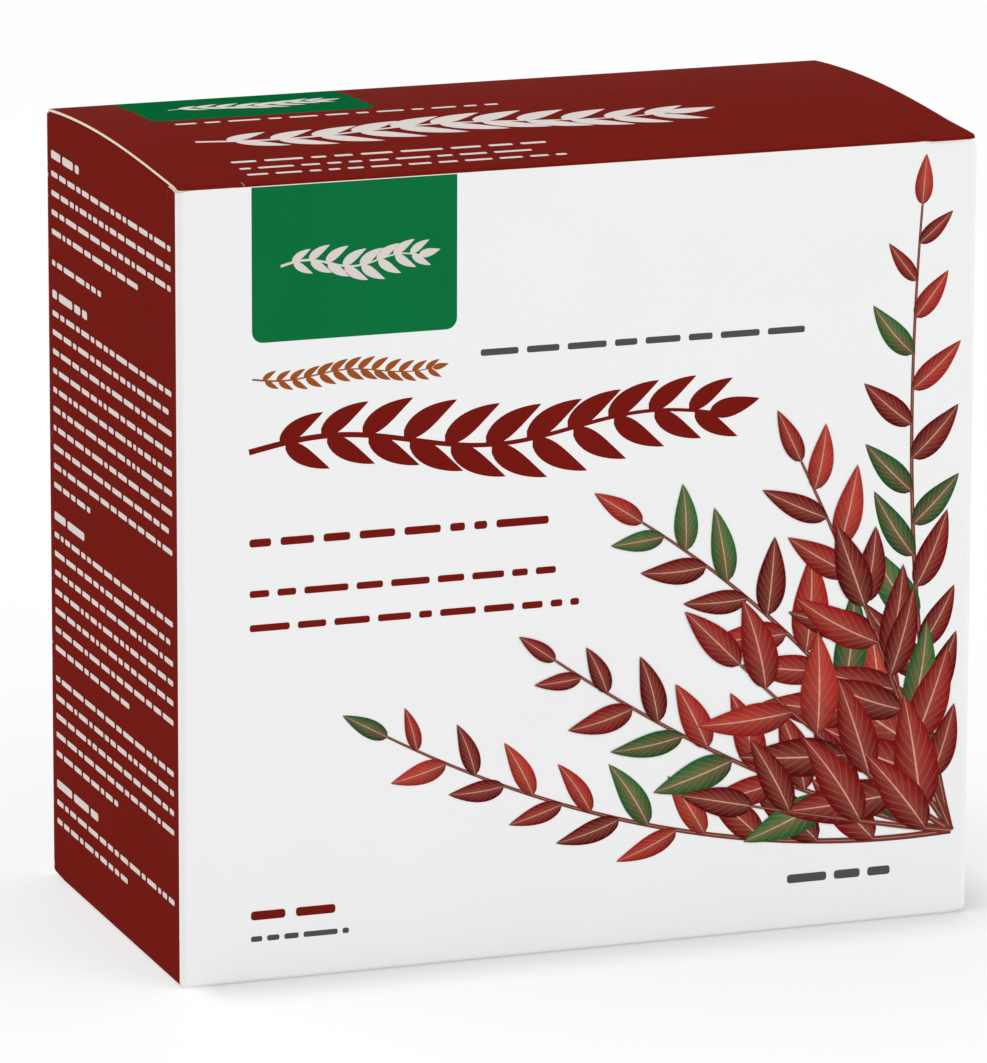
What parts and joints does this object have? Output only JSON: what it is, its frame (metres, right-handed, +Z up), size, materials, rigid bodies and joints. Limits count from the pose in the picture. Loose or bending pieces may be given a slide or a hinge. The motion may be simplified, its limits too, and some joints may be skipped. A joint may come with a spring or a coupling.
{
  "type": "folding carton of drinkable ampoules",
  "caption": "Upright printed folding carton with a hinged tuck-in lid, dust flaps and a slotted divider holding two-pointed amber glass ampoules.",
  "frame": {"origin": "middle of the carton's footprint, on the surface it stands on", "axes": "+Z up; -Y out of the front panel; +X along the front panel's width, to the right as seen from the front"},
  "size_m": [0.119, 0.0633, 0.1157],
  "materials": {
    "printed_white": "satin varnish over white print",
    "printed_dark_red": "satin varnish over dark red print",
    "raw_board": "uncoated",
    "divider_board": "uncoated",
    "amber_glass": "polished"
  },
  "bodies": {
    "carton": {"carton_walls": "printed_white", "bottom_inner_flap": "raw_board", "bottom_dust_flap_left": "raw_board", "bottom_dust_flap_right": "raw_board", "divider_long_1": "divider_board", "divider_long_2": "divider_board", "divider_short_1": "divider_board", "divider_short_2": "divider_board", "divider_short_3": "divider_board", "divider_short_4": "divider_board", "ampoule_01": "amber_glass", "ampoule_02": "amber_glass", "ampoule_03": "amber_glass", "ampoule_04": "amber_glass", "ampoule_05": "amber_glass", "ampoule_06": "amber_glass", "ampoule_07": "amber_glass", "ampoule_08": "amber_glass", "ampoule_09": "amber_glass", "ampoule_10": "amber_glass", "ampoule_11": "amber_glass", "ampoule_12": "amber_glass", "ampoule_13": "amber_glass", "ampoule_14": "amber_glass", "ampoule_15": "amber_glass"},
    "lid": {"lid": "printed_dark_red"},
    "tuck_flap": {"tuck_flap": "printed_dark_red"},
    "dust_flap_left": {"dust_flap_left": "printed_dark_red"},
    "dust_flap_right": {"dust_flap_right": "printed_dark_red"}
  },
  "joints": [
    {"name": "lid_hinge", "type": "hinge", "parent": "carton", "child": "lid", "pos_m": [0, 0.03125, 0.114], "axis": [-1, 0, 0], "range_deg": [0, 180]},
    {"name": "tuck_fold", "type": "hinge", "parent": "lid", "child": "tuck_flap", "pos_m": [0, -0.03045, 0.114], "axis": [-1, 0, 0], "range_deg": [0, 54]},
    {"name": "dust_fold_left", "type": "hinge", "parent": "carton", "child": "dust_flap_left", "pos_m": [-0.05925, 0, 0.1132], "axis": [0, -1, 0], "range_deg": [0, 90]},
    {"name": "dust_fold_right", "type": "hinge", "parent": "carton", "child": "dust_flap_right", "pos_m": [0.05925, 0, 0.1132], "axis": [0, 1, 0], "range_deg": [0, 90]}
  ],
  "couplings": [
    {"joint": "tuck_fold", "follows": "lid_hinge", "ratio": 0.3},
    {"joint": "dust_fold_left", "follows": "lid_hinge", "ratio": 0.5},
    {"joint": "dust_fold_right", "follows": "lid_hinge", "ratio": 0.5}
  ]
}
